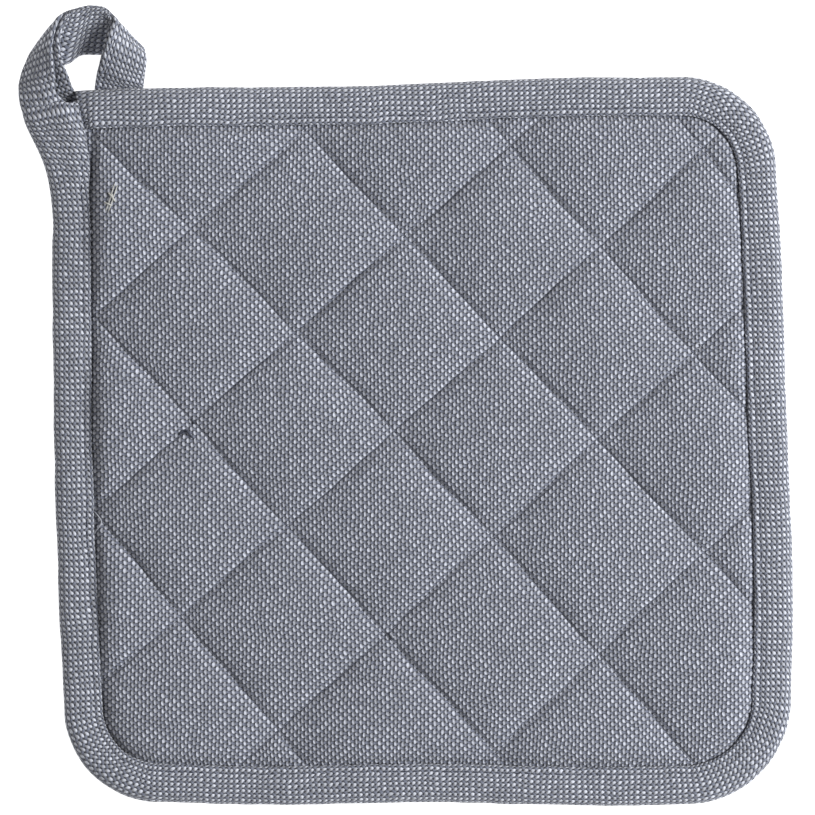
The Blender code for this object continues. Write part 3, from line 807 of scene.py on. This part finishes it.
def make_tape(rows, finish):
    """The tape's skin as one piece, closed at both cut ends and kept on the table."""
    points, round_cloth = tape_sections(rows)
    stations, around = points.shape[:2]
    middle = (rows[:, 0:3] + rows[:, 3:6]) / 2.0
    run = np.concatenate(([0.0], np.cumsum(np.linalg.norm(np.diff(middle, axis=0), axis=1))))
    lengthwise = np.repeat(run[:, None], around, axis=1) / BIAS_ALONG
    crosswise = round_cloth / BIAS_ACROSS
    cloth = np.stack(((lengthwise - crosswise) * PALE_SPACING,
                      (lengthwise + crosswise) * SLATE_SPACING), axis=-1).reshape(-1, 2)

    flat = points.reshape(-1, 3)
    wobble = ripples(flat, FINE_SIZE, 3) * FINE_WOBBLE + ripples(flat, BROAD_SIZE, 4) * BROAD_WOBBLE
    skin = points - points.mean(axis=1, keepdims=True)
    flat = flat + unit(skin).reshape(-1, 3) * wobble[:, None]
    flat[:, 2] = np.maximum(flat[:, 2], TABLE_CLEARANCE)

    number = np.arange(stations * around).reshape(stations, around)
    turned = np.roll(number, -1, axis=1)
    quads = np.stack((number[:-1], number[1:], turned[1:], turned[:-1]), axis=-1).reshape(-1, 4)
    faces = [tuple(quad) for quad in quads]
    faces.append(tuple(number[0]))
    faces.append(tuple(number[-1][::-1]))
    tape = make_piece("bias_tape", flat, faces, finish, cloth)
    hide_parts("edge_binding", "hanging_loop")
    return tape


# ------------------------------------------------------------------ sewing thread

def make_tubes(name, centres, radii, up, finish):
    """Short lengths of thread: centres and up are (lengths, rings, 3), radii (lengths, rings)."""
    lengths, rings = centres.shape[:2]
    forward = unit(np.gradient(centres, axis=1))
    side = unit(np.cross(forward, up))
    above = np.cross(side, forward)
    angle = 2.0 * math.pi * np.arange(TUBE_SIDES) / TUBE_SIDES
    turn = np.cos(angle)[:, None] * side[:, :, None] + np.sin(angle)[:, None] * above[:, :, None]
    points = centres[:, :, None] + radii[:, :, None, None] * turn
    number = np.arange(lengths * rings * TUBE_SIDES).reshape(lengths, rings, TUBE_SIDES)
    turned = np.roll(number, -1, axis=2)
    quads = np.stack((number[:, :-1], turned[:, :-1], turned[:, 1:], number[:, 1:]), axis=-1)
    faces = [tuple(quad) for quad in quads.reshape(-1, 4)]
    faces += [tuple(ring[::-1]) for ring in number[:, 0]]
    faces += [tuple(ring) for ring in number[:, -1]]
    tubes = make_piece(name, points.reshape(-1, 3), faces, finish)
    return tubes


def stitches_along(path, out, pitch):
    """Stitches along a seam: their centres, radii and outward directions, sunk at both ends."""
    travelled = np.concatenate(([0.0], np.cumsum(np.linalg.norm(np.diff(path, axis=0), axis=1))))
    starts = np.arange(int(travelled[-1] / pitch)) * pitch
    share = np.linspace(0.0, 1.0, STITCH_RINGS)
    places = starts[:, None] + STITCH_GAP / 2.0 + (pitch - STITCH_GAP) * share
    centres = np.stack([np.interp(places, travelled, path[:, k]) for k in range(3)], axis=-1)
    outward = unit(np.stack([np.interp(places, travelled, out[:, k]) for k in range(3)], axis=-1))
    arch = np.sin(math.pi * share) ** 0.5
    proud = STITCH_SUNK + (STITCH_PROUD - STITCH_SUNK) * arch
    centres = centres + outward * proud[:, None]
    radii = np.repeat(THREAD_RADIUS * (0.5 + 0.5 * arch)[None], len(starts), axis=0)
    return centres, radii, outward


def quilt_seams(edge, inward):
    """The quilting seams on both faces, each as a path with its outward direction."""
    seams = []
    for lines, crossed, swap in ((DOWN_LINES, UP_LINES, False), (UP_LINES, DOWN_LINES, True)):
        along = np.linspace(0.0, len(crossed) - 1.001, SEAM_STEPS * (len(crossed) - 1))
        for line in range(1, len(lines) - 1):
            positions = (np.full(len(along), float(line)), along)
            down, up = positions[::-1] if swap else positions
            places = quilt_points(down, up)
            depth, _ = edge_depths(places, edge, inward)
            keep = depth > RIM_REACH[0]
            if keep.sum() < 2:
                continue
            heights = face_heights(places[keep], down[keep], up[keep], depth[keep])
            for level, way in zip(heights, (1.0, -1.0)):
                path = np.column_stack((places[keep], level))
                seams.append((path, np.tile((0.0, 0.0, way), (len(path), 1))))
    return seams


def tape_seams(rows):
    """The seam through the tape, as it shows on the face layer and on the under layer."""
    fold, across, face, sizes = tape_frame(rows)
    seams = []
    for side, dimple in ((1, STITCH_DIMPLE), (-1, STITCH_DIMPLE * UNDER_DIMPLE)):
        along, up = layer_section(sizes, dimple, side)
        place = along[:, -1] - STITCH_INSET
        level = np.array([np.interp(p, a, z) for p, a, z in zip(place, along, up)])
        level = level + side * TAPE_LAYER / 2.0
        path = fold + across * place[:, None] + face * level[:, None]
        seams.append((path, face * side))
    return seams


def make_stitches(name, seams, pitch, finish):
    """All the stitches of a set of seams as one piece."""
    parts = [stitches_along(path, out, pitch) for path, out in seams]
    centres, radii, outward = [np.concatenate(group) for group in zip(*parts)]
    return make_tubes(name, centres, radii, outward, finish)


def make_thread_ends(name, ends, cover, finish):
    """Loose ends of thread lying on the face; cover finds the cloth's height under a place."""
    centres, radii = [], []
    for thickness, points in ends:
        curve = smooth_rows(points, END_STEPS * END_DENSITY // (len(points) - 1))
        pick = np.linspace(0, len(curve) - 1, END_STEPS).round().astype(int)
        curve = curve[pick] * MM
        hits = [cover.ray_cast(Vector((x, y, 1.0)), Vector((0.0, 0.0, -1.0)))[0] for x, y, _ in curve]
        curve[:, 2] += [hit.z for hit in hits]
        step = np.arange(END_STEPS)
        taper = np.minimum(1.0, END_TIP + END_TAPER * np.minimum(step, step[::-1]) / END_STEPS)
        centres.append(curve)
        radii.append(THREAD_RADIUS * thickness * taper)
    centres = np.array(centres)
    up = np.tile((0.0, 0.0, 1.0), (*centres.shape[:2], 1))
    return make_tubes(name, centres, np.array(radii), up, finish)


def loop_points(x, y, radius):
    """A loop of thread that rises over itself, as an end's row of points."""
    turns = np.linspace(0.0, LOOP_TURNS, LOOP_POINTS)
    angle = 2.0 * math.pi * turns
    return tuple((x + radius * math.cos(a), y + radius * math.sin(a), LOOP_CLIMB * t)
                 for a, t in zip(angle, turns))


# ------------------------------------------------------------------ the room

def make_stage():
    """A plain pale floor under the pot holder."""
    turns = ((-1.0, -1.0), (1.0, -1.0), (1.0, 1.0), (-1.0, 1.0))
    corners = [(FLOOR_REACH * x, FLOOR_REACH * y, -FLOOR_DROP) for x, y in turns]
    mesh = bpy.data.meshes.new("pale_floor")
    mesh.from_pydata(corners, [], [(0, 1, 2, 3)])
    material = bpy.data.materials.new("matt_white_board")
    material.use_nodes = True
    shader = material.node_tree.nodes["Principled BSDF"]
    shader.inputs["Base Color"].default_value = srgb("cfcfd0")
    shader.inputs["Roughness"].default_value = 0.95
    shader.inputs["Specular IOR Level"].default_value = 0.1
    shader.inputs["Emission Color"].default_value = (1.0, 1.0, 1.0, 1.0)
    shader.inputs["Emission Strength"].default_value = FLOOR_GLOW
    mesh.materials.append(material)
    floor = bpy.data.objects.new("pale_floor", mesh)
    bpy.context.scene.collection.objects.link(floor)


def add_soft_light(name, place, size, watts, colour):
    """A large soft lamp aimed at the pot holder."""
    lamp = bpy.data.lights.new(name, "AREA")
    lamp.shape = "RECTANGLE"
    lamp.size, lamp.size_y = size
    lamp.energy = watts
    lamp.color = colour
    light = bpy.data.objects.new(name, lamp)
    light.location = place
    light.rotation_mode = "QUATERNION"
    light.rotation_quaternion = (-Vector(place)).to_track_quat("-Z", "Y")
    bpy.context.scene.collection.objects.link(light)


def light_and_camera():
    """White surroundings, two soft lamps, and the camera straight above."""
    scene = bpy.context.scene
    scene.view_settings.view_transform = "Standard"
    world = bpy.data.worlds.new("studio")
    world.use_nodes = True
    background = world.node_tree.nodes["Background"]
    background.inputs["Color"].default_value = (1.0, 1.0, 1.0, 1.0)
    background.inputs["Strength"].default_value = SKY_STRENGTH
    scene.world = world
    for lamp in LAMPS:
        add_soft_light(*lamp)

    lens = bpy.data.cameras.new("camera")
    lens.sensor_width = SENSOR_WIDTH
    lens.lens = SENSOR_WIDTH * CAMERA_HEIGHT / SEEN_WIDTH
    camera = bpy.data.objects.new("camera", lens)
    camera.location = Vector(CAMERA_CENTRE) + Vector((0.0, 0.0, CAMERA_HEIGHT))
    scene.collection.objects.link(camera)
    scene.camera = camera


# ------------------------------------------------------------------ making it

weave = weave_group()
# The third colour of each cloth is painted shade, the dark laid into the nooks between the threads and along
# the floats' outlines.
quilted_cotton = woven_cotton("quilted_cotton", weave, srgb("777b8a"), srgb("2c2d35"), srgb("c9ccd7"))
bias_cotton = woven_cotton("bias_cotton", weave, srgb("7e8290"), srgb("2d2e36"), srgb("ced1db"))
slate_thread = sewing_thread("slate_cotton_thread", srgb("565a68"), srgb("34363f"))
white_thread = sewing_thread("white_cotton_thread", srgb("dad9d3"), srgb("a9a9a6"))
pale_thread = sewing_thread("pale_cotton_thread", srgb("bfc1c9"), srgb("8b8d96"))

edge, inward = outline()
cover = make_pad(edge, inward, quilted_cotton)
rows = tape_rows(edge, inward)
make_tape(rows, bias_cotton)
make_stitches("quilting_stitches", quilt_seams(edge, inward), QUILT_STITCH, slate_thread)
make_stitches("tape_stitches", tape_seams(rows), TAPE_STITCH, slate_thread)
make_thread_ends("slate_thread_ends", SLATE_ENDS, cover, slate_thread)
make_thread_ends("white_thread_ends", WHITE_ENDS, cover, white_thread)
pale_ends = PALE_ENDS + tuple((SEAM_LOOP_THREAD, loop_points(*loop)) for loop in SEAM_LOOPS)
make_thread_ends("pale_thread_ends", pale_ends, cover, pale_thread)

make_stage()
light_and_camera()
